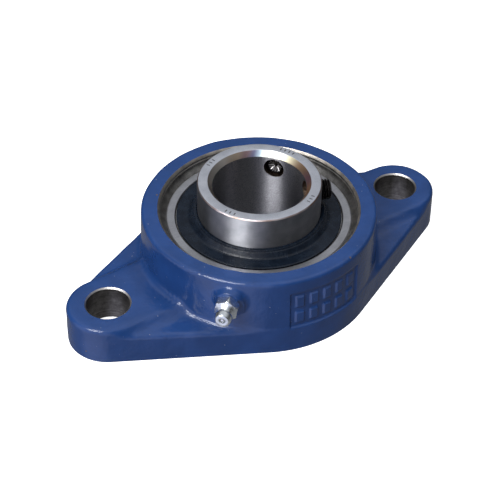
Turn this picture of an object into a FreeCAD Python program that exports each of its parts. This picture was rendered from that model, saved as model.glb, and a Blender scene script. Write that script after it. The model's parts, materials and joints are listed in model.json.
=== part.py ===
import FreeCAD, Part

import math
import os
import re

import Sketcher

# Two-bolt flange mount bearing unit for a 35 mm shaft: a cast housing with a spherical
# seat, a self-aligning ball bearing insert held in it, and a grease nipple.
#
# Frame: origin on the bearing axis in the mounting face, +Z out of the machine along the
# shaft towards the set screw end, +X along the line of the two bolt holes.

SIZES = [
    # housing
    ("bolt_spacing", 130, "between the two bolt holes"),
    ("bolt_hole_radius", 8, "clears an M14 bolt"),
    ("bolt_hole_chamfer", 0.6, "machined edge of a bolt hole"),
    ("foot_radius", 45, "round middle of the flange"),
    ("ear_radius", 15.5, "rounded end of the flange"),
    ("ear_height", 15, "bolting face of an ear"),
    ("web_height", 11.4, "flange beside the raised band"),
    ("band_half_width", 14.6, "raised band from ear to boss"),
    ("band_slope", 35, "degrees, side of the raised band"),
    ("cast_draft", 0.8, "degrees, outside walls of the casting"),
    ("cast_round", 1.2, "rounded cast edge"),
    ("housing_height", 32.7, "mounting face to top of boss"),
    ("boss_top_radius", 44.2, "outside of the boss at its top"),
    ("mouth_radius", 37.2, "turned wall above and below the seat"),
    ("mouth_chamfer", 0.8, "bare edge of the housing's mouth"),
    ("mouth_depth", 2.5, "top of boss down to the flare"),
    ("flare_width", 2.3, "flare between mouth and seat, radial"),
    ("flare_depth", 2.1, "flare between mouth and seat, axial"),
    ("seat_centre", 19, "ball plane above the mounting face"),
    ("seat_radius", 36.04, "spherical seat in the housing"),
    ("slot_width", 19.4, "loading slot for the outer ring"),
    # cast panel on the boss
    ("panel_left", 13.6, "panel edge on the -X side"),
    ("panel_right", 16, "panel edge on the +X side"),
    ("panel_bottom", 10.5, "panel's lower edge"),
    ("panel_top", 27, "panel's upper edge"),
    ("panel_depth", 0.5, "panel sunk into the boss"),
    ("panel_bar_width", 3.2, "raised bar in the panel"),
    ("panel_bar_height", 5.4, "raised bar in the panel"),
    ("panel_bar_relief", 0.4, "raised bar above the panel's floor"),
    # bearing insert
    ("bore_radius", 17.5, "35 mm shaft"),
    ("inner_radius", 23.1, "outside of the inner ring"),
    ("inner_below", 17.5, "inner ring below the ball plane"),
    ("inner_above", 25.4, "inner ring above the ball plane"),
    ("bore_chamfer_top", 1.7, "bore chamfer at the set screw end"),
    ("bore_chamfer_back", 0.8, "bore chamfer at the back"),
    ("inner_edge", 0.4, "broken outside edge of the inner ring"),
    ("outer_ring_radius", 36, "spherical outside of the outer ring"),
    ("outer_half_width", 9.5, "half the width of the outer ring"),
    ("shoulder_radius", 30.5, "outer ring's shoulder beside the race"),
    ("face_radius", 31.6, "outer ring's face, inner edge"),
    ("seal_seat_radius", 31.9, "groove that holds a seal"),
    ("ball_count", 9, "balls"),
    ("ball_radius", 5.556, "7/16 inch balls"),
    ("pitch_radius", 26.75, "ball centres from the shaft's axis"),
    ("race_radius", 5.72, "section of both races"),
    ("race_play", 0.014, "between a ball and each race"),
    ("lube_width", 2.2, "grease groove round the outer ring"),
    ("lube_depth", 0.6, "depth of the grease groove"),
    ("lube_height", 5.6, "grease groove above the ball plane"),
    ("lube_hole_radius", 1, "grease hole through the outer ring"),
    # cage
    ("cage_inner_radius", 24.4, "inner edge of the cage"),
    ("cage_outer_radius", 29.2, "outer edge of the cage"),
    ("cage_sheet", 0.85, "cage sheet"),
    ("pocket_radius", 5.76, "inside of a ball pocket"),
    ("rivet_radius", 0.9, "cage rivet's shank"),
    ("rivet_head_radius", 1.6, "cage rivet's head"),
    ("rivet_head_height", 0.6, "cage rivet's head"),
    # seals and flingers, measured from the ball plane
    ("seal_low", 7.2, "inside of a seal"),
    ("seal_high", 8.7, "outside of a seal"),
    ("seal_core_low", 7.9, "inside of the seal's steel core"),
    ("seal_core_inner", 25.4, "inner edge of the steel core"),
    ("seal_core_outer", 31.2, "outer edge of the steel core"),
    ("lip_play", 0.05, "seal lip to the inner ring"),
    ("flinger_low", 9, "inside of a flinger's disc"),
    ("flinger_high", 9.8, "outside of a flinger's disc"),
    ("flinger_radius", 31, "outside of a flinger's disc"),
    ("hub_radius", 26.3, "foot of the flinger's hub"),
    ("hub_height", 12.8, "top of the flinger's hub"),
    # set screws
    ("screw_radius", 3.95, "M8 set screw"),
    ("screw_play", 0.05, "set screw to its hole"),
    ("screw_length", 8, "set screw"),
    ("screw_start", 18.8, "set screw's point from the shaft's axis"),
    ("screw_drop", 6.7, "set screw's axis below the top of the ring"),
    ("screw_edge", 0.6, "chamfer at both ends of a set screw"),
    ("socket_flats", 4, "hexagon socket across flats"),
    ("socket_depth", 4, "hexagon socket"),
    ("cup_radius", 2.6, "cup point"),
    ("cup_depth", 0.9, "cup point"),
    ("screw_angle_a", 38.5, "degrees from +X"),
    ("screw_angle_b", -23.5, "degrees from +X"),
    # grease nipple, measured along its own axis from the boss
    ("nipple_angle", -136, "degrees from +X"),
    ("nipple_height", 24.6, "nipple's axis above the mounting face"),
    ("nipple_seat", 47.1, "face of the pad that the nipple's hexagon sits on"),
    ("nipple_pad_radius", 4.8, "cast pad round the nipple, at its rough face"),
    ("nipple_pad_foot_radius", 7.1, "pad's foot inside the boss wall"),
    ("nipple_pad_depth", 6.1, "pad's foot below its machined face"),
    ("nipple_pad_skim", 0.2, "cut off the pad's rough face"),
    ("spot_radius", 5.4, "spot face"),
    ("nipple_thread_radius", 3, "M6 thread"),
    ("nipple_thread_length", 5.6, "M6 thread"),
    ("nipple_flats", 8, "hexagon across flats"),
    ("nipple_hex_height", 3.6, "hexagon"),
    ("nipple_neck_radius", 2.3, "neck between hexagon and head"),
    ("nipple_head_radius", 3.25, "widest part of the head"),
    ("nipple_tip_radius", 2.2, "flat tip of the head"),
    ("nipple_length", 8.9, "hexagon's foot to the tip"),
    ("nipple_bore_radius", 1.4, "room for the check ball"),
    ("nipple_mouth_radius", 0.95, "opening in the tip"),
    ("nipple_feed_radius", 0.7, "channel below the spring"),
    ("check_ball_radius", 1.2, "check ball"),
    ("check_ball_depth", 1.15, "check ball's centre below the tip"),
    ("check_ball_play", 0.25, "check ball's rest below its seat"),
    ("spring_wire_radius", 0.16, "check spring"),
    ("spring_radius", 0.9, "check spring, to the middle of the wire"),
    ("spring_foot", 2.1, "foot of the check spring above the boss"),
    ("spring_turns", 5, "check spring"),
]

doc = FreeCAD.newDocument("FlangeMountBearing")
sheet = doc.addObject("Spreadsheet::Sheet", "Sizes")
for row, (alias, number, note) in enumerate(SIZES, start=1):
    sheet.set(f"A{row}", note)
    sheet.set(f"B{row}", str(number))
    sheet.setAlias(f"B{row}", alias)
doc.recompute()

ALIASES = {alias for alias, _, _ in SIZES}
SUBPARTS = []


def on_sheet(formula):
    """The formula with each size's name pointed at the sheet."""
    words = re.compile(r"[a-z][a-z_]+")
    return words.sub(lambda word: f"Sizes.{word[0]}" if word[0] in ALIASES else word[0], str(formula))


def value(formula):
    """The formula's number."""
    return float(sheet.evalExpression(on_sheet(formula)))


def bind(thing, **formulas):
    """Bind properties of a document object to formulas of the sheet's sizes."""
    for name, formula in formulas.items():
        thing.setExpression(name.replace("_", "."), on_sheet(formula))
    return thing


def solid(kind, name, place=None, **formulas):
    """A Part primitive with bound sizes, at a fixed Placement."""
    thing = bind(doc.addObject(f"Part::{kind}", name), **formulas)
    if place:
        thing.Placement = place
    return thing


def cut(name, base, *tools):
    """base less the tools."""
    thing = doc.addObject("Part::Cut", name)
    thing.Base = base
    thing.Tool = tools[0] if len(tools) == 1 else fuse(name + "Tools", *tools)
    return thing


def fuse(name, *shapes):
    thing = doc.addObject("Part::MultiFuse", name)
    thing.Shapes = list(shapes)
    return thing


def common(name, *shapes):
    thing = doc.addObject("Part::MultiCommon", name)
    thing.Shapes = list(shapes)
    return thing


def subpart(thing, label, place=None):
    """Mark a document object as one physical piece, exported under its label."""
    thing.Label = label
    if place:
        thing.Placement = place
    SUBPARTS.append(thing)
    return thing


def at(across, along, up):
    """An unturned Placement, from three formulas."""
    return FreeCAD.Placement(FreeCAD.Vector(value(across), value(along), value(up)), FreeCAD.Rotation())


def height(formula):
    """A Placement raised along Z."""
    return at("0", "0", formula)


def radial(angle, distance, up):
    """A Placement on a radius: its own +Z points outwards, its own +X points up."""
    turn = math.radians(value(angle))
    out = FreeCAD.Vector(math.cos(turn), math.sin(turn), 0)
    side = FreeCAD.Vector(0, 0, 1).cross(out)
    base = out * value(distance) + FreeCAD.Vector(0, 0, value(up))
    turned = FreeCAD.Rotation(FreeCAD.Vector(0, 0, 1), side * -1, out, "ZXY")
    return FreeCAD.Placement(base, turned)


def around(count, shift=0.0):
    """Angles of count even places round the axis, in degrees."""
    return [shift + 360.0 * step / count for step in range(count)]


def turned(name, corners):
    """A solid turned about Z from a closed line through (radius, height) corners."""
    sketch = doc.addObject("Sketcher::SketchObject", name + "Profile")
    sketch.Placement = FreeCAD.Placement(FreeCAD.Vector(), FreeCAD.Rotation(FreeCAD.Vector(1, 0, 0), 90))
    spots = [FreeCAD.Vector(value(across), value(up), 0) for across, up in corners]
    for index, spot in enumerate(spots):
        sketch.addGeometry(Part.LineSegment(spot, spots[(index + 1) % len(spots)]))
    for index in range(len(spots)):
        sketch.addConstraint(Sketcher.Constraint("Coincident", index, 2, (index + 1) % len(spots), 1))
    for index, (across, up) in enumerate(corners):
        for kind, formula in (("DistanceX", across), ("DistanceY", up)):
            datum = sketch.addConstraint(Sketcher.Constraint(kind, -1, 1, index, 1, value(formula)))
            sketch.setExpression(f"Constraints[{datum}]", on_sheet(formula))
    solid_of_turning = doc.addObject("Part::Revolution", name)
    solid_of_turning.Source = sketch
    solid_of_turning.Axis = FreeCAD.Vector(0, 0, 1)
    solid_of_turning.Base = FreeCAD.Vector()
    solid_of_turning.Angle = 360
    solid_of_turning.Solid = True
    return solid_of_turning


def raised(name, sketch, tall, draft):
    """A sketch extruded along Z, its walls leaning in by draft degrees."""
    thing = doc.addObject("Part::Extrusion", name)
    thing.Base = sketch
    thing.DirMode = "Custom"
    thing.Dir = FreeCAD.Vector(0, 0, 1)
    thing.Solid = True
    bind(thing, LengthFwd=tall, TaperAngle=f"-({draft})")
    return thing


# ---------------------------------------------------------------------------- housing

def flange_outline():
    """The flange's outline: a round middle and two round ears joined by tangent lines."""
    sketch = doc.addObject("Sketcher::SketchObject", "FlangeOutline")
    ear_x = value("bolt_spacing / 2")
    foot = value("foot_radius")
    ear = value("ear_radius")
    lean = math.acos((foot - ear) / ear_x)
    corners = []
    for centre, size, start, end in (
        (ear_x, ear, -lean, lean),
        (0, foot, lean, math.pi - lean),
        (-ear_x, ear, math.pi - lean, math.pi + lean),
        (0, foot, math.pi + lean, 2 * math.pi - lean),
    ):
        circle = Part.Circle(FreeCAD.Vector(centre, 0, 0), FreeCAD.Vector(0, 0, 1), size)
        arc = Part.ArcOfCircle(circle, start, end)
        corners.append((arc.StartPoint, arc.EndPoint))
        sketch.addGeometry(arc)
    for index, (_, end) in enumerate(corners):
        sketch.addGeometry(Part.LineSegment(end, corners[(index + 1) % 4][0]))
    for index in range(4):
        sketch.addConstraint(Sketcher.Constraint("Tangent", index, 2, 4 + index, 1))
        sketch.addConstraint(Sketcher.Constraint("Tangent", 4 + index, 2, (index + 1) % 4, 1))
    right_ear = ("bolt_spacing / 2", "ear_radius")
    left_ear = ("-bolt_spacing / 2", "ear_radius")
    middle = ("0", "foot_radius")
    for index, (across, size) in enumerate((right_ear, middle, left_ear, middle)):
        place = [
            sketch.addConstraint(Sketcher.Constraint("DistanceX", -1, 1, index, 3, value(across))),
            sketch.addConstraint(Sketcher.Constraint("DistanceY", -1, 1, index, 3, 0.0)),
            sketch.addConstraint(Sketcher.Constraint("Radius", index, value(size))),
        ]
        sketch.setExpression(f"Constraints[{place[0]}]", on_sheet(across))
        sketch.setExpression(f"Constraints[{place[2]}]", on_sheet(size))
    return sketch


def band_outline(name, level):
    """The raised band's foot: a long slot, ear to ear, as wide as its sloping sides reach."""
    sketch = doc.addObject("Sketcher::SketchObject", name)
    sketch.Placement = height(level)
    wide = "band_half_width + (ear_height - web_height) * tan(band_slope)"
    half = value(wide)
    ear_x = value("bolt_spacing / 2")
    for side in (1, -1):
        circle = Part.Circle(FreeCAD.Vector(side * ear_x, 0, 0), FreeCAD.Vector(0, 0, 1), half)
        sketch.addGeometry(Part.ArcOfCircle(circle, -side * math.pi / 2, (2 - side) * math.pi / 2))
    for side in (1, -1):
        ends = [FreeCAD.Vector(side * ear_x, side * half, 0), FreeCAD.Vector(-side * ear_x, side * half, 0)]
        sketch.addGeometry(Part.LineSegment(*ends))
    for first, second in ((0, 2), (2, 1), (1, 3), (3, 0)):
        sketch.addConstraint(Sketcher.Constraint("Tangent", first, 2, second, 1))
    for index, across in ((0, "bolt_spacing / 2"), (1, "-bolt_spacing / 2")):
        datum = sketch.addConstraint(Sketcher.Constraint("DistanceX", -1, 1, index, 3, value(across)))
        sketch.addConstraint(Sketcher.Constraint("DistanceY", -1, 1, index, 3, 0.0))
        sketch.setExpression(f"Constraints[{datum}]", on_sheet(across))
    datum = sketch.addConstraint(Sketcher.Constraint("Radius", 0, half))
    sketch.setExpression(f"Constraints[{datum}]", on_sheet(wide))
    return sketch


def rounded(name, base, edges, radius):
    """Round the base's edges that the test picks."""
    doc.recompute()
    thing = doc.addObject("Part::Fillet", name)
    thing.Base = base
    size = value(radius)
    thing.Edges = [(index, size, size) for index, edge in enumerate(base.Shape.Edges, start=1) if edges(edge)]
    return thing


def at_height(formula):
    """A test for edges that lie flat at one height."""
    level = value(formula)
    return lambda edge: abs(edge.BoundBox.ZMin - level) < 0.01 and abs(edge.BoundBox.ZMax - level) < 0.01


def casting():
    """The raw casting: web, raised band and boss, with rounded edges and the sunk panel."""
    outline = flange_outline()
    web = raised("Web", outline, "web_height", "cast_draft")
    web = rounded("WebRounded", web, at_height("web_height"), "cast_round")
    foot = band_outline("BandFootOutline", "0")
    foot = raised("BandFoot", foot, "web_height", "0")
    band = raised("Band", band_outline("BandOutline", "web_height"), "ear_height - web_height", "band_slope")
    band = rounded("BandRounded", band, at_height("ear_height"), "cast_round")
    limit = raised("EarLimit", outline, "ear_height", "cast_draft")
    limit = rounded("EarLimitRounded", limit, at_height("ear_height"), "cast_round")
    ears = common("Ears", fuse("WholeBand", foot, band), limit)
    boss_corners = [
        ("0", "0"),
        ("foot_radius", "0"),
        ("boss_top_radius", "housing_height"),
        ("0", "housing_height"),
    ]
    boss = turned("Boss", boss_corners)
    boss = rounded("BossRounded", boss, at_height("housing_height"), "cast_round")
    return cut("CastingWithPanel", fuse("Casting", web, ears, boss, nipple_pad()), panel())


def nipple_pad():
    """The tapered round pad on the boss wall that carries the nipple, with its face still rough."""
    foot = radial("nipple_angle", "nipple_seat - nipple_pad_depth", "nipple_height")
    return solid(
        "Cone",
        "NipplePad",
        foot,
        Radius1="nipple_pad_foot_radius",
        Radius2="nipple_pad_radius",
        Height="nipple_pad_depth + nipple_pad_skim",
    )


def panel():
    """The sunk panel on the boss's -Y side, less two rows of plain raised bars."""
    middle = "(foot_radius + boss_top_radius) / 2"
    skin = cut(
        "PanelSkin",
        solid("Cylinder", "PanelOutside", Radius="foot_radius + 2", Height="housing_height"),
        solid("Cylinder", "PanelFloor", Radius=f"{middle} - panel_depth", Height="housing_height"),
    )
    window = solid(
        "Box",
        "PanelWindow",
        at("-panel_left", "-foot_radius - 2", "panel_bottom"),
        Length="panel_left + panel_right",
        Width="foot_radius",
        Height="panel_top - panel_bottom",
    )
    rows = 2
    columns = 5
    bars = []
    for row in range(rows):
        for column in range(columns):
            share_across = (column + 0.5) / columns
            share_up = (row + 0.5) / rows
            left = f"{share_across} * (panel_left + panel_right) - panel_left - panel_bar_width / 2"
            low = f"{share_up} * (panel_top - panel_bottom) + panel_bottom - panel_bar_height / 2"
            bars.append(
                solid(
                    "Box",
                    f"PanelBar{row}{column}",
                    at(left, "-foot_radius - 2", low),
                    Length="panel_bar_width",
                    Width="foot_radius",
                    Height="panel_bar_height",
                )
            )
    faces = f"{middle} - panel_depth + panel_bar_relief"
    core = solid("Cylinder", "PanelBarFaces", Radius=faces, Height="housing_height")
    relief = common("PanelBars", fuse("PanelBarBlocks", *bars), core)
    return cut("Panel", common("PanelBlock", skin, window), relief)


def housing():
    """The machined casting: seat, mouths, loading slots, bolt holes and the nipple's hole."""
    low_flare = "seat_centre * 2 - (housing_height - mouth_depth)"
    low_edge = "seat_centre * 2 - (housing_height - mouth_depth - flare_depth)"
    bore = turned(
        "HousingBore",
        [
            ("0", "0"),
            ("mouth_radius + mouth_chamfer", "0"),
            ("mouth_radius", "mouth_chamfer"),
            ("mouth_radius", low_flare),
            ("mouth_radius - flare_width", low_edge),
            ("mouth_radius - flare_width", "housing_height - mouth_depth - flare_depth"),
            ("mouth_radius", "housing_height - mouth_depth"),
            ("mouth_radius", "housing_height - mouth_chamfer"),
            ("mouth_radius + mouth_chamfer", "housing_height"),
            ("0", "housing_height"),
        ],
    )
    seat = solid("Sphere", "Seat", height("seat_centre"), Radius="seat_radius")
    slot_box = solid(
        "Box",
        "SlotBox",
        at("-slot_width / 2", "-seat_radius", "0"),
        Length="slot_width",
        Width="seat_radius * 2",
        Height="seat_centre",
    )
    slot_ends = solid("Cylinder", "SlotEnds", Radius="seat_radius", Height="seat_centre")
    slots = common("LoadingSlots", slot_box, slot_ends)
    tools = [bore, seat, slots]
    for side, name in ((1, "Right"), (-1, "Left")):
        hole = turned(
            f"BoltHole{name}",
            [
                ("0", "0"),
                ("bolt_hole_radius + bolt_hole_chamfer", "0"),
                ("bolt_hole_radius", "bolt_hole_chamfer"),
                ("bolt_hole_radius", "ear_height - bolt_hole_chamfer"),
                ("bolt_hole_radius + bolt_hole_chamfer", "ear_height"),
                ("0", "ear_height"),
            ],
        )
        hole.Placement = at(f"{side} * bolt_spacing / 2", "0", "0")
        tools.append(hole)
    spot = radial("nipple_angle", "nipple_seat", "nipple_height")
    tools.append(solid("Cylinder", "SpotFace", spot, Radius="spot_radius", Height="4"))
    thread = radial("nipple_angle", "nipple_seat - nipple_thread_length", "nipple_height")
    thread_sizes = {"Radius": "nipple_thread_radius", "Height": "nipple_thread_length"}
    tools.append(solid("Cylinder", "NippleHole", thread, **thread_sizes))
    feed = radial("nipple_angle", "seat_radius - 2", "nipple_height")
    feed_length = "nipple_seat - nipple_thread_length - seat_radius + 2.5"
    tools.append(solid("Cylinder", "GreaseWay", feed, Radius="lube_hole_radius * 1.2", Height=feed_length))
    subpart(cut("Housing", casting(), *tools), "housing")


# -------------------------------------------------------------------- bearing insert

def inner_ring():
    """The wide inner ring, with its race and the two set screw holes."""
    low = "seat_centre - inner_below"
    high = "seat_centre + inner_above"
    blank = turned(
        "InnerBlank",
        [
            ("bore_radius", f"{low} + bore_chamfer_back"),
            ("bore_radius + bore_chamfer_back", low),
            ("inner_radius - inner_edge", low),
            ("inner_radius", f"{low} + inner_edge"),
            ("inner_radius", f"{high} - inner_edge"),
            ("inner_radius - inner_edge", high),
            ("bore_radius + bore_chamfer_top", high),
            ("bore_radius", f"{high} - bore_chamfer_top"),
        ],
    )
    race = solid(
        "Torus",
        "InnerRace",
        height("seat_centre"),
        Radius1="pitch_radius - ball_radius - race_play + race_radius",
        Radius2="race_radius",
    )
    holes = [
        solid(
            "Cylinder",
            f"ScrewHole{angle[-1]}",
            radial(angle, "bore_radius / 2", f"{high} - screw_drop"),
            Radius="screw_radius + screw_play",
            Height="inner_radius",
        )
        for angle in ("screw_angle_a", "screw_angle_b")
    ]
    subpart(cut("InnerRing", blank, race, *holes), "inner_ring")


def outer_ring():
    """The outer ring: spherical outside, race, seal seats and grease holes."""
    seat_low = "outer_half_width - seal_low + 0.3"
    blank = turned(
        "OuterBlank",
        [
            ("shoulder_radius", f"seat_centre - outer_half_width + {seat_low}"),
            ("seal_seat_radius", f"seat_centre - outer_half_width + {seat_low}"),
            ("seal_seat_radius", "seat_centre - seal_high"),
            ("face_radius", "seat_centre - seal_high"),
            ("face_radius", "seat_centre - outer_half_width"),
            ("outer_ring_radius", "seat_centre - outer_half_width"),
            ("outer_ring_radius", "seat_centre + outer_half_width"),
            ("face_radius", "seat_centre + outer_half_width"),
            ("face_radius", "seat_centre + seal_high"),
            ("seal_seat_radius", "seat_centre + seal_high"),
            ("seal_seat_radius", f"seat_centre + outer_half_width - ({seat_low})"),
            ("shoulder_radius", f"seat_centre + outer_half_width - ({seat_low})"),
        ],
    )
    ball = solid("Sphere", "OuterBall", height("seat_centre"), Radius="outer_ring_radius")
    race = solid(
        "Torus",
        "OuterRace",
        height("seat_centre"),
        Radius1="pitch_radius + ball_radius + race_play - race_radius",
        Radius2="race_radius",
    )
    low = "seat_centre + lube_height - lube_width / 2"
    band = "sqrt(outer_ring_radius ^ 2 - lube_height ^ 2)"
    groove = turned(
        "GreaseGroove",
        [
            (f"{band} - lube_depth", low),
            ("outer_ring_radius + 1", low),
            ("outer_ring_radius + 1", f"{low} + lube_width"),
            (f"{band} - lube_depth", f"{low} + lube_width"),
        ],
    )
    holes = []
    for index, angle in enumerate(around(2, value("nipple_angle"))):
        place = radial(str(angle), "shoulder_radius - 2", "seat_centre + lube_height")
        holes.append(solid("Cylinder", f"GreaseHole{index}", place, Radius="lube_hole_radius", Height="8"))
    body = common("OuterBody", blank, ball)
    subpart(cut("OuterRing", body, race, groove, *holes), "outer_ring")


def mirrored(corners, side):
    """Corners given as (radius, height above the ball plane), above or below it."""
    sign = "+" if side > 0 else "-"
    return [(across, f"seat_centre {sign} ({up})") for across, up in corners]


def seals(side, place):
    """One seal: a rubber ring with a lip, moulded to a steel core."""
    core = [
        ("seal_core_inner", "seal_core_low"),
        ("seal_core_outer", "seal_core_low"),
        ("seal_core_outer", "seal_high"),
        ("seal_core_inner", "seal_high"),
    ]
    rubber = [
        ("inner_radius + lip_play", "seal_low"),
        ("seal_seat_radius", "seal_low"),
        ("seal_seat_radius", "seal_high"),
        ("seal_core_outer", "seal_high"),
        ("seal_core_outer", "seal_core_low"),
        ("seal_core_inner", "seal_core_low"),
        ("seal_core_inner", "seal_high"),
        ("inner_radius + 0.7", "seal_high"),
    ]
    name = place.capitalize()
    subpart(turned(f"SealCore{name}", mirrored(core, side)), f"seal_core_{place}")
    subpart(turned(f"SealRubber{name}", mirrored(rubber, side)), f"seal_rubber_{place}")


def flinger(side, place):
    """One flinger: a thin disc on a rounded hub that grips the inner ring."""
    corners = [
        ("inner_radius", "flinger_low"),
        ("flinger_radius", "flinger_low"),
        ("flinger_radius", "flinger_high"),
        ("hub_radius", "flinger_high"),
        ("hub_radius - 0.5", "flinger_high + 1.2"),
        ("hub_radius - 1.2", "hub_height - 0.7"),
        ("hub_radius - 2", "hub_height - 0.1"),
        ("inner_radius + 0.5", "hub_height"),
        ("inner_radius", "hub_height - 0.4"),
    ]
    subpart(turned(f"Flinger{place.capitalize()}", mirrored(corners, side)), f"flinger_{place}")


def pitch_spots(shift):
    """As many even places on the pitch circle as there are balls, from shift degrees on."""
    centre = FreeCAD.Vector(0, 0, value("seat_centre"))
    spoke = FreeCAD.Vector(value("pitch_radius"), 0, 0)
    axis = FreeCAD.Vector(0, 0, 1)
    turns = around(int(value("ball_count")), shift)
    return [centre + FreeCAD.Rotation(axis, turn).multVec(spoke) for turn in turns]


def ball_centres():
    return pitch_spots(0)


def rivet_spots():
    """Where the rivets sit: midway between the balls."""
    return pitch_spots(value("180 / ball_count"))


def balls():
    for index, spot in enumerate(ball_centres(), start=1):
        ball = solid("Sphere", f"Ball{index}", Radius="ball_radius")
        subpart(ball, f"ball_{index}", FreeCAD.Placement(spot, FreeCAD.Rotation()))


def cage_half(side, place):
    """One pressed half of the ribbon cage: flats between round ball pockets."""
    name = place.capitalize()
    depth = "pocket_radius + cage_sheet + 1"
    floor = "seat_centre" if side > 0 else f"seat_centre - ({depth})"
    limit = cut(
        f"CageLimit{name}",
        solid("Cylinder", f"CageOutside{name}", height(floor), Radius="cage_outer_radius", Height=depth),
        solid("Cylinder", f"CageInside{name}", height(floor), Radius="cage_inner_radius", Height=depth),
    )
    flat_floor = "seat_centre" if side > 0 else "seat_centre - cage_sheet"
    flat_sizes = {"Radius": "cage_outer_radius", "Height": "cage_sheet"}
    flat = solid("Cylinder", f"CageFlat{name}", height(flat_floor), **flat_sizes)
    shells = []
    hollows = []
    for index, spot in enumerate(ball_centres()):
        centre = FreeCAD.Placement(spot, FreeCAD.Rotation())
        shells.append(solid("Sphere", f"Shell{name}{index}", centre, Radius="pocket_radius + cage_sheet"))
        hollows.append(solid("Sphere", f"Hollow{name}{index}", centre, Radius="pocket_radius"))
    for index, spot in enumerate(rivet_spots()):
        low = FreeCAD.Placement(spot - FreeCAD.Vector(0, 0, 2), FreeCAD.Rotation())
        hollows.append(solid("Cylinder", f"RivetHole{name}{index}", low, Radius="rivet_radius", Height="4"))
    sheet_metal = common(f"CageSheet{name}", fuse(f"CageBlank{name}", flat, *shells), limit)
    subpart(cut(f"CageHalf{name}", sheet_metal, *hollows), f"cage_{place}_half")


def cage_rivets():
    """The rivets that hold the cage's halves together, one solid each."""
    rivets = []
    for index, spot in enumerate(rivet_spots()):
        low = FreeCAD.Placement(spot - FreeCAD.Vector(0, 0, value("cage_sheet")), FreeCAD.Rotation())
        shank = solid("Cylinder", f"Shank{index}", low, Radius="rivet_radius", Height="cage_sheet * 2")
        pieces = [shank]
        for side, turn in ((1, 0), (-1, 180)):
            foot = spot + FreeCAD.Vector(0, 0, side * value("cage_sheet"))
            head = FreeCAD.Placement(foot, FreeCAD.Rotation(FreeCAD.Vector(1, 0, 0), turn))
            pieces.append(
                solid(
                    "Cone",
                    f"Head{index}{'Low' if side < 0 else 'High'}",
                    head,
                    Radius1="rivet_head_radius",
                    Radius2="rivet_head_radius * 0.6",
                    Height="rivet_head_height",
                )
            )
        rivets.append(fuse(f"Rivet{index}", *pieces))
    group = doc.addObject("Part::Compound", "CageRivets")
    group.Links = rivets
    subpart(group, "cage_rivets")


def set_screw(number, angle):
    """A cup-point set screw, made along its own +Z and laid on a radius of the ring."""
    blank = turned(
        f"ScrewBlank{number}",
        [
            ("0", "0"),
            ("screw_radius - screw_edge", "0"),
            ("screw_radius", "screw_edge"),
            ("screw_radius", "screw_length - screw_edge"),
            ("screw_radius - screw_edge", "screw_length"),
            ("0", "screw_length"),
        ],
    )
    socket = solid("Prism", f"Socket{number}", height("screw_length - socket_depth"))
    socket.Polygon = 6
    bind(socket, Circumradius="socket_flats / 2 / cos(30)", Height="socket_depth + 1")
    cup = solid("Cone", f"Cup{number}", Radius1="cup_radius", Radius2="cup_radius * 0.2", Height="cup_depth")
    place = radial(angle, "screw_start", "seat_centre + inner_above - screw_drop")
    subpart(cut(f"SetScrew{number}", blank, socket, cup), f"set_screw_{number}", place)


# ---------------------------------------------------------------------- grease nipple

def grease_nipple():
    """The nipple's body, its check ball and the ball's spring, along one radius."""
    place = radial("nipple_angle", "nipple_seat", "nipple_height")
    stem = turned(
        "NippleStem",
        [
            ("0", "-nipple_thread_length"),
            ("nipple_thread_radius", "-nipple_thread_length"),
            ("nipple_thread_radius", "0"),
            ("nipple_neck_radius + 1", "nipple_hex_height"),
            ("nipple_neck_radius", "nipple_hex_height + 1.4"),
            ("nipple_neck_radius", "nipple_hex_height + 2.3"),
            ("nipple_head_radius", "nipple_hex_height + 2.9"),
            ("nipple_head_radius", "nipple_hex_height + 3.4"),
            ("nipple_tip_radius", "nipple_length"),
            ("0", "nipple_length"),
        ],
    )
    hexagon = solid("Prism", "NippleHexagon")
    hexagon.Polygon = 6
    bind(hexagon, Circumradius="nipple_flats / 2 / cos(30)", Height="nipple_hex_height")
    edge = turned(
        "NippleHexagonEdge",
        [
            ("0", "0"),
            ("nipple_flats / 2 + 0.7", "0"),
            ("nipple_flats / 2 + 0.7", "nipple_hex_height - 0.5"),
            ("nipple_flats / 2", "nipple_hex_height"),
            ("0", "nipple_hex_height"),
        ],
    )
    channel = turned(
        "NippleChannel",
        [
            ("0", "-nipple_thread_length"),
            ("nipple_feed_radius", "-nipple_thread_length"),
            ("nipple_feed_radius", "spring_foot"),
            ("nipple_bore_radius", "spring_foot"),
            ("nipple_bore_radius", "nipple_length - check_ball_depth"),
            ("nipple_mouth_radius", "nipple_length - 0.3"),
            ("nipple_mouth_radius", "nipple_length"),
            ("0", "nipple_length"),
        ],
    )
    blank = fuse("NippleBlank", stem, common("NippleNut", hexagon, edge))
    subpart(cut("NippleBody", blank, channel), "grease_nipple_body", place)
    ball_out = "nipple_seat + nipple_length - check_ball_depth - check_ball_play"
    ball_place = radial("nipple_angle", ball_out, "nipple_height")
    subpart(solid("Sphere", "CheckBall", Radius="check_ball_radius"), "grease_nipple_ball", ball_place)
    check_spring()


def check_spring():
    """The check ball's spring: a round wire swept along a helix, foot to ball."""
    ball_foot = "nipple_length - check_ball_depth - check_ball_play - check_ball_radius"
    room = value(f"{ball_foot} - spring_foot - spring_wire_radius * 2")
    radius = value("spring_radius")
    line = Part.Wire(Part.makeLongHelix(room / value("spring_turns"), room, radius).Edges)
    section = Part.Circle(FreeCAD.Vector(radius, 0, 0), FreeCAD.Vector(0, 1, 0), value("spring_wire_radius"))
    coil = doc.addObject("Part::Feature", "CheckSpring")
    coil.Shape = line.makePipeShell([Part.Wire([section.toShape()])], True, True)
    place = radial("nipple_angle", "nipple_seat + spring_foot + spring_wire_radius", "nipple_height")
    subpart(coil, "grease_nipple_spring", place)


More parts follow.
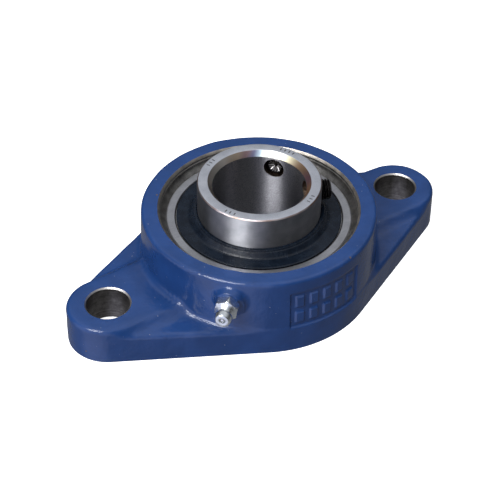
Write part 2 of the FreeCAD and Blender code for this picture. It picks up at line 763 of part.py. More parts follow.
housing()
outer_ring()
for side, place in ((1, "top"), (-1, "bottom")):
    seals(side, place)
    flinger(side, place)
inner_ring()
for side, place in ((1, "upper"), (-1, "lower")):
    cage_half(side, place)
cage_rivets()
balls()
set_screw(1, "screw_angle_a")
set_screw(2, "screw_angle_b")
grease_nipple()
doc.recompute()

for thing in doc.Objects:
    if {"Invalid", "Error"} & set(thing.State):
        raise RuntimeError(f"{thing.Name} failed: {thing.State}")
for thing in SUBPARTS:
    if thing.Shape.isNull() or not thing.Shape.isValid():
        raise RuntimeError(f"{thing.Label} has no valid shape")

os.makedirs("parts", exist_ok=True)
for thing in SUBPARTS:
    thing.Shape.exportStep(f"parts/{thing.Label}.step")
    print(f"{thing.Label}: {len(thing.Shape.Solids)} solid(s), {thing.Shape.Volume:.1f} mm3")
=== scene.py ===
"""Flange mount bearing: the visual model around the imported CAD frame.

Lengths in this script are millimetres in the CAD's own frame; meshes are scaled to metres
where they are made. +Z is the shaft, away from the mounting face; +X is the bolt line.
"""
import json
import math

import bmesh
import bpy
import numpy as np
from mathutils import Matrix, Vector


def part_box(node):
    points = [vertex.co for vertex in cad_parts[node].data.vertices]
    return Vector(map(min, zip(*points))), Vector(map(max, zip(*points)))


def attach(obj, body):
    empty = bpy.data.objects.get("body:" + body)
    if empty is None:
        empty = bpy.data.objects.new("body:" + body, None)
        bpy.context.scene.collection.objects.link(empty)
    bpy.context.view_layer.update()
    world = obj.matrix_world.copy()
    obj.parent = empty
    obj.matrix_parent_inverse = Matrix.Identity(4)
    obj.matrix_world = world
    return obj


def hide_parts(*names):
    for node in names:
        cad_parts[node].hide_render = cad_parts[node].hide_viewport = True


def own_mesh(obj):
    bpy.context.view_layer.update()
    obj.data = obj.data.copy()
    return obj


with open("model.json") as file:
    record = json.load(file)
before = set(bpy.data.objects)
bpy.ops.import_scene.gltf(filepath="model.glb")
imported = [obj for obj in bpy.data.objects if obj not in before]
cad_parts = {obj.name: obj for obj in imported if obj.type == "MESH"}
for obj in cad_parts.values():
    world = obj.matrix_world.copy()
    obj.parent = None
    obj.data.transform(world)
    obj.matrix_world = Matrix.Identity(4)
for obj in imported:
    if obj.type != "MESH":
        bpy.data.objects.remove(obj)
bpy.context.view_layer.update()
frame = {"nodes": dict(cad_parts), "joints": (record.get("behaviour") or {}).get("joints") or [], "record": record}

MM = 0.001
MOUNTS = {mount["name"]: mount for mount in frame["record"]["mounts"]}
JOINTS = {joint["name"]: joint for joint in frame["joints"]}


def node_box(node):
    """A CAD node's lowest and highest corners in millimetres."""
    low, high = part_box(node)
    return np.array(low) / MM, np.array(high) / MM


# Sizes read from the frame
BOLT_X = MOUNTS["bolt_holes"]["dims"]["spacing_x_mm"] / 2
BOLT_R = MOUNTS["bolt_holes"]["dims"]["hole_r_mm"]
BORE_R = MOUNTS["shaft_bore"]["dims"]["r_mm"]
BALL_Z = JOINTS["shaft_spin"]["pos_m"][2] / MM
HOUSING_HIGH = node_box("housing")[1]
RING_LOW, RING_HIGH = node_box("inner_ring")
OUTER_LOW, OUTER_HIGH = node_box("outer_ring")
TOP = HOUSING_HIGH[2]

# The casting: boss, raised band along the bolt line, webs beside it
EAR_R = HOUSING_HIGH[0] - BOLT_X
FOOT_R = 45.0
BOSS_TAPER = 0.8 / TOP
EAR_TOP = 15.0
WEB_TOP = 12.0
WEB_SLOPE = 0.045
BAND_HALF = 14.6
CAST_DRAFT = math.tan(math.radians(0.8))
FLANGE_ROUNDING = 1.7
BOSS_ROUNDING = 1.5
BOSS_FILLET = 2.6
PAD_BLEND = 1.4
PANEL_LEFT, PANEL_RIGHT = -13.6, 16.0
PANEL_LOW, PANEL_HIGH = 10.8, 26.8
PANEL_DEPTH, BAR_HEIGHT = 0.75, 0.7
BAR_HALF_WIDTH, BAR_HALF_HEIGHT = 1.6, 2.5

# The housing's bore
MOUTH_R = 37.2
MOUTH_CHAMFER = 0.8
FLARE_TOP = TOP - 2.5
FLARE_LOW = FLARE_TOP - 2.1
SEAT_R = 36.04
SEAT_EDGE_R = 34.9
SLOT_HALF_WIDTH = 9.7

# The grease nipple and its pad, measured from the shaft's axis
NIPPLE_AXIS = MOUNTS["grease_point"]["axis"]
NIPPLE_ANGLE = math.degrees(math.atan2(NIPPLE_AXIS[1], NIPPLE_AXIS[0]))
NIPPLE_TIP = math.hypot(*MOUNTS["grease_point"]["pos_m"][:2]) / MM
NIPPLE_Z = MOUNTS["grease_point"]["pos_m"][2] / MM
NIPPLE_LENGTH = 8.9
NIPPLE_SEAT = NIPPLE_TIP - NIPPLE_LENGTH
PAD_R = 4.9
PAD_FLARE = 0.36

# The insert
CHAMFER_WIDE, CHAMFER_DEEP = 1.7, 2.0
RING_R = 23.1
RING_EDGE = 0.4
BACK_CHAMFER = 0.8
RACE_R = 5.72
INNER_RACE_CENTRE = 26.9
OUTER_RACE_CENTRE = 26.6
OUTER_R = OUTER_HIGH[0]
FACE_R = 31.6
SEAL_SEAT_R = 31.9
OUTER_LAND_R = 30.5

# The set screws: length, thread radius, hole radius, and the point's place along the radius
SCREW_LENGTH = 8.0
SCREW_R = 3.95
SCREW_HOLE_R = 4.0
SCREW_START = 18.8
SCREW_Z = float(RING_HIGH[2]) - 6.7
SCREW_KNURLS = 16

# The ring's etched strokes: each group's middle angle and half its spread, in degrees
TALLY_GROUPS = ((115, 7), (28, 10), (-60, 7), (-151, 7))

# The room: grey by height from below (0) to overhead (1), and a glow at the left
ROOM_GREYS = ((0.0, 0.25), (0.44, 0.18), (0.5, 0.06), (0.66, 0.08), (0.80, 0.26), (0.92, 0.62))
ROOM_TINT = (0.96, 0.98, 1.04)
GLOW_FROM = (-0.936, -0.352, 0)
GLOW_COLOUR = (0.76, 0.78, 0.96)
LEFT = (-0.66, -0.24, 0.70)


# ==== Small mesh helpers

def make_mesh(name, points, faces, looks=(), face_looks=None):
    """A mesh object from points in millimetres."""
    mesh = bpy.data.meshes.new(name)
    mesh.from_pydata((np.asarray(points, float) * MM).tolist(), [], [list(face) for face in faces])
    for look in looks:
        mesh.materials.append(look)
    if face_looks is not None:
        mesh.polygons.foreach_set("material_index", np.asarray(face_looks, np.int32))
    mesh.update()
    piece = bpy.data.objects.new(name, mesh)
    bpy.context.scene.collection.objects.link(piece)
    return piece


def smooth(piece, sharp_degrees):
    """Smooth shading, with a hard edge wherever two faces meet at more than the angle."""
    piece.data.polygons.foreach_set("use_smooth", [True] * len(piece.data.polygons))
    piece.data.set_sharp_from_angle(angle=math.radians(sharp_degrees))
    piece.data.update()


def grid_faces(rows, columns, close_rows=False):
    """Quads over a grid of rows by columns, each row a closed loop of columns."""
    row = np.arange(rows if close_rows else rows - 1)[:, None]
    column = np.arange(columns)[None, :]
    after = (row + 1) % rows
    beside = (column + 1) % columns
    corners = [(row, column), (row, beside), (after, beside), (after, column)]
    numbers = [np.broadcast_to(up * columns + along, (row.size, columns)) for up, along in corners]
    return np.stack(numbers, axis=-1).reshape(-1, 4)


def ring_points(radii, heights, turns):
    """Points of rings about Z, one after another, from their radii, heights and angles."""
    x, y = radii * np.cos(turns), radii * np.sin(turns)
    return np.stack([x, y, np.broadcast_to(heights, x.shape)], axis=-1).reshape(-1, 3)


def rounded_path(corners, steps=5):
    """A closed path through (radius, height, rounding) corners, each rounding a short arc."""
    path = []
    count = len(corners)
    for index, (across, up, rounding) in enumerate(corners):
        here = np.array([across, up], float)
        if rounding <= 0:
            path.append(here)
            continue
        before = np.array(corners[index - 1][:2], float) - here
        after = np.array(corners[(index + 1) % count][:2], float) - here
        before /= np.linalg.norm(before)
        after /= np.linalg.norm(after)
        half = math.acos(np.clip(before @ after, -1, 1)) / 2
        reach = rounding / math.tan(half)
        centre = here + (before + after) / np.linalg.norm(before + after) * rounding / math.sin(half)
        start = here + before * reach - centre
        end = here + after * reach - centre
        sweep = math.atan2(start[0] * end[1] - start[1] * end[0], start @ end)
        for step in range(steps + 1):
            turn = sweep * step / steps
            cosine, sine = math.cos(turn), math.sin(turn)
            across = start[0] * cosine - start[1] * sine
            up = start[0] * sine + start[1] * cosine
            path.append(centre + [across, up])
    return np.array(path)


def lathe(name, path, columns, looks=()):
    """A body turned about Z from a closed path of (radius, height) points."""
    turns = np.linspace(0, 2 * math.pi, columns, endpoint=False)
    path = np.asarray(path, float)
    points = ring_points(path[:, :1], path[:, 1:], turns)
    piece = make_mesh(name, points, grid_faces(len(path), columns, True), looks)
    face_outwards(piece)
    return piece


def face_outwards(piece):
    """Turn every face outwards and drop doubled points."""
    shape = bmesh.new()
    shape.from_mesh(piece.data)
    bmesh.ops.remove_doubles(shape, verts=shape.verts, dist=1e-7)
    bmesh.ops.recalc_face_normals(shape, faces=shape.faces)
    shape.to_mesh(piece.data)
    shape.free()


def carve(piece, *tools):
    """Cut each tool out of the piece, then delete the tools."""
    for tool in tools:
        cutter = piece.modifiers.new("carve", "BOOLEAN")
        cutter.operation = "DIFFERENCE"
        cutter.solver = "EXACT"
        cutter.object = tool
        depsgraph = bpy.context.evaluated_depsgraph_get()
        carved = bpy.data.meshes.new_from_object(piece.evaluated_get(depsgraph))
        piece.modifiers.clear()
        piece.data = carved
        bpy.data.objects.remove(tool)


def radial_frame(angle, distance, up):
    """A matrix in millimetres: own +Z points out along the radius, own +X points up."""
    turn = math.radians(angle)
    out = Vector((math.cos(turn), math.sin(turn), 0))
    upwards = Vector((0, 0, 1))
    side = out.cross(upwards)
    frame_matrix = Matrix((upwards, side, out)).transposed().to_4x4()
    frame_matrix.translation = out * distance + upwards * up
    return frame_matrix


def lay(piece, matrix):
    """Move a piece's mesh by a matrix in millimetres."""
    placed = matrix.copy()
    placed.translation = matrix.translation * MM
    piece.data.transform(placed)
    piece.data.update()
    return piece


def finish_piece(piece, body, node):
    """Ride on a body and stand for a CAD node."""
    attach(piece, body)
    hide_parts(node)


def ease(share):
    """A smooth step from 0 to 1."""
    share = np.clip(share, 0, 1)
    return share * share * (3 - 2 * share)


# ==== Materials

class Look:
    """A node material, built up by short calls."""

    def __init__(self, name, **uniform):
        self.material = bpy.data.materials.new(name)
        self.material.use_nodes = True
        self.tree = self.material.node_tree
        self.tree.nodes.clear()
        self.shader = self.tree.nodes.new("ShaderNodeBsdfPrincipled")
        output = self.tree.nodes.new("ShaderNodeOutputMaterial")
        self.tree.links.new(self.shader.outputs[0], output.inputs["Surface"])
        for socket, number in uniform.items():
            self.shader.inputs[socket.replace("_", " ")].default_value = number

    def node(self, kind, links=None, **settings):
        """Add a node; settings are properties, links go to its inputs by name or number."""
        made = self.tree.nodes.new("ShaderNode" + kind)
        for name, setting in settings.items():
            setattr(made, name, setting)
        for socket, source in (links or {}).items():
            self.put(made, socket, source)
        return made

    def put(self, node, socket, source):
        """Set a node's input to a number, a colour or another node's output."""
        target = node.inputs[socket]
        if isinstance(source, bpy.types.NodeSocket):
            self.tree.links.new(source, target)
        elif isinstance(source, bpy.types.Node):
            self.tree.links.new(source.outputs[0], target)
        else:
            target.default_value = source

    def place(self):
        """The point in the piece's own frame, in millimetres."""
        coordinates = self.node("TexCoord").outputs["Object"]
        scaled = self.node("VectorMath", {0: coordinates, 1: (1 / MM,) * 3}, operation="MULTIPLY")
        return scaled.outputs[0]

    def math(self, operation, *terms):
        """One arithmetic step on numbers or outputs."""
        return self.node("Math", dict(enumerate(terms)), operation=operation).outputs[0]

    def noise(self, vector, scale, detail=2, roughness=0.5):
        """Noise from 0 to 1; the scale is per millimetre."""
        links = {"Vector": vector, "Scale": scale, "Detail": detail, "Roughness": roughness}
        return self.node("TexNoise", links).outputs["Fac"]

    def ramp(self, factor, *stops, smooth_steps=True):
        """A colour ramp from (position, colour) stops; a plain number is a grey."""
        made = self.node("ValToRGB", {"Fac": factor})
        ramp = made.color_ramp
        ramp.interpolation = "EASE" if smooth_steps else "LINEAR"
        while len(ramp.elements) < len(stops):
            ramp.elements.new(0.5)
        for element, (position, colour) in zip(ramp.elements, stops):
            element.position = position
            grey = isinstance(colour, (int, float))
            element.color = (colour, colour, colour, 1) if grey else (*colour, 1)
        return made.outputs["Color"]

    def mix(self, factor, first, second, blend="MIX"):
        """Blend two colours."""
        made = self.node("Mix", data_type="RGBA", blend_type=blend)
        for socket, source in ((0, factor), (6, first), (7, second)):
            if isinstance(source, tuple) and len(source) == 3:
                source = (*source, 1)
            self.put(made, socket, source)
        return made.outputs[2]

    def bump(self, depth_mm, height, under=None):
        """Bump of a height field that runs from 0 to 1 over the given depth."""
        links = {"Strength": 1.0, "Distance": depth_mm * MM, "Height": height}
        if under is not None:
            links["Normal"] = under
        return self.node("Bump", links).outputs[0]

    def cylindrical(self, point):
        """(radius, angle in radians, height) about the shaft's axis, in millimetres."""
        parts = self.node("SeparateXYZ", {0: point})
        flat = self.node("CombineXYZ", {0: parts.outputs[0], 1: parts.outputs[1]})
        radius = self.node("VectorMath", {0: flat}, operation="LENGTH").outputs["Value"]
        angle = self.math("ARCTAN2", parts.outputs[1], parts.outputs[0])
        return radius, angle, parts.outputs[2]

    def set(self, **links):
        """Put numbers or outputs on the shader's sockets, and give the material."""
        for socket, source in links.items():
            self.put(self.shader, socket.replace("_", " "), source)
        return self.material


def band(look, number, low, high, soft):
    """1 where low < number < high, with soft edges."""
    rise = look.node("MapRange", {0: number, 1: low - soft, 2: low + soft}, interpolation_type="SMOOTHSTEP")
    fall = look.node("MapRange", {0: number, 1: high + soft, 2: high - soft}, interpolation_type="SMOOTHSTEP")
    return look.math("MULTIPLY", rise.outputs[0], fall.outputs[0])


def enamel():
    """Blue enamel on a casting: orange peel, a few chips and specks."""
    look = Look("blue_enamel", Roughness=0.16, IOR=1.5, Specular_IOR_Level=0.6)
    point = look.place()
    tone = look.noise(point, 0.09, 3)
    colour = look.ramp(tone, (0.3, (0.0098, 0.040, 0.146)), (0.7, (0.0128, 0.049, 0.177)))
    chips = look.node("TexVoronoi", {"Vector": point, "Scale": 0.085, "Randomness": 1.0}, feature="F1")
    ragged = look.math("MULTIPLY_ADD", look.noise(point, 2.2, 4, 0.7), 0.05, chips.outputs["Distance"])
    chip = look.ramp(ragged, (0.052, 1.0), (0.062, 0.0), smooth_steps=False)
    dust = look.ramp(look.noise(point, 1.15, 1, 0.4), (0.795, 0.0), (0.82, 1.0))
    colour = look.mix(chip, colour, (0.10, 0.075, 0.06))
    colour = look.mix(look.math("MULTIPLY", dust, 0.35), colour, (0.42, 0.45, 0.5))
    peel = look.noise(point, 0.75, 2, 0.45)
    lumps = look.noise(point, 0.16, 3, 0.5)
    fine = look.noise(point, 3.2, 2, 0.5)
    normal = look.bump(0.22, lumps)
    normal = look.bump(0.075, peel, normal)
    normal = look.bump(0.010, fine, normal)
    normal = look.bump(-0.08, chip, normal)
    roughness = look.math("MULTIPLY_ADD", look.noise(point, 0.3, 3), 0.12, 0.1)
    return look.set(Base_Color=colour, Roughness=roughness, Normal=normal)


def machined_iron(name, dark, light, line_scale=7.0, roughness=0.36):
    """Bare turned cast iron: fine tool lines round the axis and dark graphite pores."""
    look = Look(name, Metallic=1.0, Roughness=roughness)
    point = look.place()
    radius, _, height = look.cylindrical(point)
    depth = look.math("ADD", radius, height)
    lines = look.node("CombineXYZ", {0: depth})
    tool = look.noise(lines, line_scale, 3, 0.6)
    blotch = look.noise(point, 0.35, 4, 0.6)
    pores = look.ramp(look.noise(point, 2.6, 2, 0.5), (0.28, 0.45), (0.36, 1.0))
    tone = look.math("MULTIPLY_ADD", tool, 0.5, look.math("MULTIPLY", blotch, 0.5))
    colour = look.mix(1.0, look.ramp(tone, (0.3, dark), (0.7, light)), pores, "MULTIPLY")
    normal = look.bump(0.012, tool)
    normal = look.bump(0.01, blotch, normal)
    rough = look.math("MULTIPLY_ADD", blotch, 0.2, roughness - 0.1)
    return look.set(Base_Color=colour, Roughness=rough, Normal=normal)


def hole_iron():
    """The drilled bolt holes: dark iron with drill marks and a brighter broken edge."""
    look = Look("drilled_iron", Metallic=1.0, Roughness=0.4)
    point = look.place()
    parts = look.node("SeparateXYZ", {0: point})
    across = look.math("ABSOLUTE", parts.outputs[0])
    offset = look.math("SUBTRACT", across, BOLT_X)
    flat = look.node("CombineXYZ", {0: offset, 1: parts.outputs[1]})
    radius = look.node("VectorMath", {0: flat}, operation="LENGTH").outputs["Value"]
    edge = look.node("MapRange", {0: radius, 1: BOLT_R + 0.03, 2: BOLT_R + 0.12}).outputs[0]
    down_wall = look.node("CombineXYZ", {0: parts.outputs[2], 1: look.math("MULTIPLY", radius, 0.2)})
    marks = look.noise(down_wall, 4.0, 3)
    stain = look.noise(point, 0.5, 4, 0.65)
    tone = look.math("MULTIPLY_ADD", marks, 0.4, look.math("MULTIPLY", stain, 0.6))
    wall = look.ramp(tone, (0.3, (0.08, 0.075, 0.07)), (0.7, (0.21, 0.20, 0.19)))
    colour = look.mix(edge, wall, (0.5, 0.48, 0.46))
    normal = look.bump(0.03, marks)
    normal = look.bump(0.04, stain, normal)
    return look.set(Base_Color=colour, Normal=normal)


def ring_steel():
    """Ground bearing steel of the inner ring's outside and its honed bore."""
    look = Look("inner_ring_steel", Metallic=1.0, Anisotropic=1.0, Anisotropic_Rotation=0.25)
    look.put(look.shader, "Tangent", look.node("Tangent", direction_type="RADIAL", axis="Z"))
    point = look.place()
    radius, _, height = look.cylindrical(point)
    bore = look.node("MapRange", {0: radius, 1: BORE_R + 0.2, 2: BORE_R + 0.02}).outputs[0]
    lines = look.noise(look.node("CombineXYZ", {0: radius, 1: height}), 9.0, 3, 0.6)
    blotch = look.noise(point, 0.25, 3, 0.5)
    grain = look.noise(point, 5.0, 2, 0.6)
    tone = look.math("MULTIPLY_ADD", lines, 0.5, look.math("MULTIPLY", blotch, 0.5))
    steel = look.ramp(tone, (0.3, (0.20, 0.205, 0.22)), (0.7, (0.30, 0.305, 0.325)))
    honed = look.ramp(grain, (0.3, (0.10, 0.10, 0.112)), (0.7, (0.31, 0.31, 0.33)))
    colour = look.mix(bore, steel, honed)
    normal = look.bump(0.004, lines)
    normal = look.bump(0.004, grain, normal)
    rough = look.ramp(blotch, (0.3, 0.43), (0.7, 0.47))
    return look.set(Base_Color=colour, Roughness=rough, Normal=normal)


def oxide_tint_and_highlight(look, angle, radius, wander):
    """The oxide colours that grinding heat left round the ring's chamfer, with a painted highlight: the pale cream
    stop near 38 degrees round.
    """
    turn = look.node("MapRange", {0: angle, 1: -math.pi, 2: math.pi}).outputs[0]
    drift = look.math("MULTIPLY_ADD", wander, 0.03, look.math("MULTIPLY", radius, 0.006))
    return look.ramp(
        look.math("SUBTRACT", look.math("ADD", turn, drift), 0.125),
        (0.30, (0.55, 0.50, 0.42)),
        (0.37, (0.55, 0.25, 0.10)),
        (0.44, (0.30, 0.13, 0.16)),
        (0.50, (0.42, 0.25, 0.12)),
        (0.55, (0.52, 0.46, 0.28)),
        # painted highlight: this pale cream stop paints the light's reflection on the chamfer near 38 degrees
        # round
        (0.61, (0.78, 0.76, 0.60)),
        (0.64, (0.60, 0.66, 0.58)),
        (0.66, (0.24, 0.32, 0.38)),
        (0.68, (0.09, 0.09, 0.18)),
        (0.70, (0.20, 0.11, 0.11)),
        (0.74, (0.36, 0.27, 0.18)),
        (0.80, (0.58, 0.54, 0.48)),
    )


def ring_end_steel():
    """The inner ring's ground end face with its strokes, and its heat tinted chamfers with a painted highlight."""
    look = Look("inner_ring_end_steel", Metallic=1.0)
    point = look.place()
    radius, angle, height = look.cylindrical(point)
    top = float(RING_HIGH[2])
    face = band(look, height, top - 0.02, top + 5, 0.03)
    grain = look.noise(point, 4.5, 3, 0.6)
    blotch = look.noise(point, 0.25, 3, 0.5)
    tone = look.math("MULTIPLY_ADD", grain, 0.6, look.math("MULTIPLY", blotch, 0.4))
    colour = look.ramp(tone, (0.3, (0.62, 0.65, 0.71)), (0.7, (0.84, 0.87, 0.93)))
    around = look.node("CombineXYZ", {0: look.math("COSINE", angle), 1: look.math("SINE", angle)})
    wander = look.noise(around, 3.0, 2, 0.5)
    inner_chamfer = band(look, radius, BORE_R - 1, BORE_R + 1.66, 0.04)
    chamfer = look.math("MULTIPLY", inner_chamfer, look.math("SUBTRACT", 1.0, face))
    # the chamfer's oxide colours, with a painted highlight near 38 degrees round
    tint = oxide_tint_and_highlight(look, angle, radius, wander)
    colour = look.mix(look.math("MULTIPLY", chamfer, 0.9), colour, tint)
    outer_edge = band(look, radius, RING_R - 0.45, RING_R + 1, 0.03)
    edge = look.math("MULTIPLY", outer_edge, look.math("SUBTRACT", 1.0, face))
    heat = look.math("MULTIPLY", edge, look.math("MULTIPLY", wander, 1.4))
    colour = look.mix(heat, colour, (0.25, 0.13, 0.08))
    marks = look.math("MULTIPLY", tally(look, radius, angle), face)
    colour = look.mix(look.math("MULTIPLY", marks, 0.85), colour, (0.05, 0.05, 0.055))
    normal = look.bump(0.006, grain)
    normal = look.bump(-0.05, marks, normal)
    rough = look.mix(face, (0.34, 0.34, 0.34), (0.5, 0.5, 0.5))
    return look.set(Base_Color=colour, Roughness=rough, Normal=normal)


def tally(look, radius, angle):
    """Short etched strokes on the ring's face, in a few plain groups of even strokes."""
    total = None
    for middle, half_spread in TALLY_GROUPS:
        first, last = math.radians(middle - half_spread), math.radians(middle + half_spread)
        near = band(look, angle, first, last, 0.004)
        total = near if total is None else look.math("ADD", total, near)
    stripes = look.math("SINE", look.math("MULTIPLY", angle, 75.0))
    stroke = look.node("MapRange", {0: stripes, 1: 0.55, 2: 0.75}).outputs[0]
    ring = band(look, radius, 20.6, 21.9, 0.06)
    return look.math("MULTIPLY", look.math("MULTIPLY", total, stroke), ring)


def outer_steel():
    """Ground bearing steel of the outer ring, with fine lines across its face."""
    look = Look("outer_ring_steel", Metallic=1.0, Roughness=0.34)
    point = look.place()
    stretched = look.node("Mapping", {"Vector": point, "Rotation": (0, 0, 0.5), "Scale": (0.25, 6.0, 1.0)})
    lines = look.noise(stretched, 1.6, 3, 0.65)
    blotch = look.noise(point, 0.22, 3)
    tone = look.math("MULTIPLY_ADD", lines, 0.55, look.math("MULTIPLY", blotch, 0.45))
    colour = look.ramp(tone, (0.3, (0.50, 0.51, 0.54)), (0.7, (0.72, 0.73, 0.76)))
    return look.set(Base_Color=colour, Normal=look.bump(0.004, lines))


def coated(name, dark, light, roughness, peel_depth):
    """A dark moulded or dipped coating with a fine pebbled surface."""
    look = Look(name, Roughness=roughness, IOR=1.38)
    point = look.place()
    tone = look.noise(point, 0.3, 3)
    colour = look.ramp(tone, (0.3, dark), (0.7, light))
    pebbles = look.noise(point, 3.5, 2, 0.5)
    normal = look.bump(peel_depth, pebbles)
    rough = look.math("MULTIPLY_ADD", tone, 0.2, roughness - 0.1)
    return look.set(Base_Color=colour, Roughness=rough, Normal=normal)


def plated(name, dark, light, roughness):
    """Plated, polished or oxidised steel with faint cloudy variation and scratches."""
    look = Look(name, Metallic=1.0, Roughness=roughness)
    point = look.place()
    clouds = look.noise(point, 0.9, 4, 0.6)
    fine = look.noise(point, 7.0, 2, 0.6)
    colour = look.ramp(clouds, (0.3, dark), (0.7, light))
    normal = look.bump(0.004, fine)
    rough = look.math("MULTIPLY_ADD", clouds, 0.16, roughness - 0.08)
    return look.set(Base_Color=colour, Roughness=rough, Normal=normal)


def floor_look():
    """The pale floor, which glows so that it stays even."""
    look = Look("pale_floor", Roughness=0.7, Emission_Strength=0.9)
    look.shader.inputs["Emission Color"].default_value = (1, 1, 1, 1)
    point = look.place()
    tone = look.ramp(look.noise(point, 0.004, 2), (0.3, 0.78), (0.7, 0.80))
    return look.set(Base_Color=tone)


LOOKS = {
    "enamel": enamel(),
    "bore_iron": machined_iron("turned_iron", (0.13, 0.125, 0.12), (0.36, 0.35, 0.33)),
    "lip_iron": machined_iron("bare_lip_iron", (0.38, 0.35, 0.31), (0.66, 0.61, 0.54), roughness=0.42),
    "face_iron": machined_iron("faced_iron", (0.30, 0.29, 0.28), (0.48, 0.47, 0.46), 2.2, 0.4),
    "hole_iron": hole_iron(),
    "ring_steel": ring_steel(),
    "ring_end": ring_end_steel(),
    "outer_steel": outer_steel(),
    "flinger": coated("flinger_coating", (0.003, 0.006, 0.012), (0.006, 0.011, 0.020), 0.26, 0.005),
    "rubber": coated("seal_rubber", (0.012, 0.012, 0.013), (0.025, 0.025, 0.026), 0.5, 0.01),
    "zinc": plated("bright_zinc", (0.66, 0.71, 0.74), (0.88, 0.91, 0.92), 0.24),
    "cage": plated("pressed_steel", (0.45, 0.45, 0.44), (0.62, 0.61, 0.59), 0.32),
    "chrome": plated("polished_steel", (0.70, 0.71, 0.73), (0.82, 0.83, 0.85), 0.1),
    "tapped": plated("tapped_steel", (0.08, 0.055, 0.04), (0.20, 0.15, 0.11), 0.35),
    "worn": plated("worn_steel", (0.42, 0.41, 0.40), (0.66, 0.65, 0.63), 0.3),
    "black": plated("black_oxide", (0.018, 0.017, 0.018), (0.05, 0.046, 0.046), 0.34),
}


# ==== Housing

def outline_gap(x, y):
    """Distance outside the flange's outline: a round middle, two round ears, tangent sides."""
    across = np.abs(x)
    along = np.abs(y)
    lean = (FOOT_R - EAR_R) / BOLT_X
    rise = math.sqrt(1 - lean * lean)
    station = across * rise - along * lean
    to_middle = np.hypot(across, along) - FOOT_R
    to_ear = np.hypot(across - BOLT_X, along) - EAR_R
    to_side = across * lean + along * rise - FOOT_R
    return np.where(station < 0, to_middle, np.where(station > BOLT_X * rise, to_ear, to_side))


def round_corner(first, second, radius):
    """The inside of both distances, with their common edge rounded."""
    u = np.maximum(first + radius, 0)
    v = np.maximum(second + radius, 0)
    return np.minimum(-radius, np.maximum(first, second)) + np.hypot(u, v)


def flange_top(x, y):
    """Height of the flange: the raised band, its hollow sloping sides and the lower webs."""
    across = np.abs(x)
    along = np.abs(y)
    narrow, widening, reach = 1.8, 4.6, 30
    spread = narrow + widening * np.clip((BOLT_X + 4 - across) / reach, 0, 1)
    past = along - BAND_HALF
    past = (past + np.sqrt(past * past + 0.5)) / 2
    drop = 1 - (1 - np.clip(past / spread, 0, 1)) ** 2
    web = WEB_TOP - WEB_SLOPE * np.maximum(along - BAND_HALF, 0)
    height = EAR_TOP - (EAR_TOP - web) * drop
    gap = np.hypot(x, y) - FOOT_R + BOSS_TAPER * EAR_TOP
    inside = np.clip(BOSS_FILLET - gap, 0, BOSS_FILLET)
    return height + BOSS_FILLET - np.sqrt(BOSS_FILLET * BOSS_FILLET - inside * inside)


def casting_distance(x, y, z):
    """Roughly the distance outside the raw casting."""
    side = outline_gap(x, y) + CAST_DRAFT * z
    flange = round_corner(side, (z - flange_top(x, y)) * 0.93, FLANGE_ROUNDING)
    wall = np.hypot(x, y) - FOOT_R + BOSS_TAPER * z
    boss = round_corner(wall, z - TOP, BOSS_ROUNDING)
    body = np.minimum(flange, boss)
    pad = nipple_pad(x, y, z)
    near = np.clip(0.5 + 0.5 * (body - pad) / PAD_BLEND, 0, 1)
    return body + (pad - body) * near - PAD_BLEND * near * (1 - near)


def nipple_pad(x, y, z):
    """Distance outside the tapered round pad that the grease nipple sits on."""
    turn = math.radians(NIPPLE_ANGLE)
    outward = x * math.cos(turn) + y * math.sin(turn)
    aside = y * math.cos(turn) - x * math.sin(turn)
    upward = z - NIPPLE_Z
    radius = np.hypot(aside, upward)
    side = (radius - PAD_R - PAD_FLARE * (NIPPLE_SEAT - outward)) * 0.94
    return np.maximum(round_corner(side, outward - NIPPLE_SEAT, 0.5), 38 - outward)


def plateau(number, low, high):
    """1 between low and high, with sides that slope over the panel's soft edge."""
    soft = 0.75
    return ease((number - low) / soft + 0.5) * ease((high - number) / soft + 0.5)


def panel_depth(x, y, z):
    """How far the boss is sunk: a framed panel with two rows of plain raised bars."""
    depth = PANEL_DEPTH * plateau(x, PANEL_LEFT, PANEL_RIGHT) * plateau(z, PANEL_LOW, PANEL_HIGH)
    rows, columns = 2, 5
    margin_x, margin_z = 0.8, 0.7
    pitch_x = (PANEL_RIGHT - PANEL_LEFT - 2 * margin_x) / columns
    pitch_z = (PANEL_HIGH - PANEL_LOW - 2 * margin_z) / rows
    bars = np.zeros_like(depth)
    for row in range(rows):
        for column in range(columns):
            across = PANEL_LEFT + margin_x + (column + 0.5) * pitch_x
            up = PANEL_LOW + margin_z + (row + 0.5) * pitch_z
            wide = plateau(x, across - BAR_HALF_WIDTH, across + BAR_HALF_WIDTH)
            tall = plateau(z, up - BAR_HALF_HEIGHT, up + BAR_HALF_HEIGHT)
            bars = np.maximum(bars, wide * tall)
    return (depth - BAR_HEIGHT * bars) * (y < 0)


def casting_waves(x, y, z):
    """Slow unevenness of a sand-cast skin, under two tenths of a millimetre."""
    chance = np.random.default_rng(7)
    total = np.zeros_like(x)
    for _ in range(14):
        direction = chance.normal(size=3)
        direction /= np.linalg.norm(direction)
        length = chance.uniform(7, 22)
        phase = chance.uniform(0, 2 * math.pi)
        along = direction[0] * x + direction[1] * y + direction[2] * z
        total += np.sin(along * 2 * math.pi / length + phase)
    return total * 0.012


def column_angles():
    """Angles of the housing's columns, closer together at the panel, the nipple's pad and the ears."""
    edges = np.radians(np.arange(0, 3601) / 10)
    turns = edges[:-1]
    x, y = np.cos(turns), np.sin(turns)
    panel = (y < 0) & (x * FOOT_R > PANEL_LEFT - 2) & (x * FOOT_R < PANEL_RIGHT + 2)
    ears = np.abs(y) < 0.25
    pad = np.abs(np.degrees(turns) - (NIPPLE_ANGLE % 360)) < 9
    density = np.where(panel | pad, 3.0, np.where(ears, 1.7, 1.0))
    blur = 60
    padded = np.concatenate([density[-blur:], density, density[:blur]])
    density = np.convolve(padded, np.ones(blur) / blur, "same")[blur:-blur]
    total = np.concatenate([[0], np.cumsum(density)])
    columns = 600
    marks = np.arange(columns) / columns * total[-1]
    return np.interp(marks, total, edges)


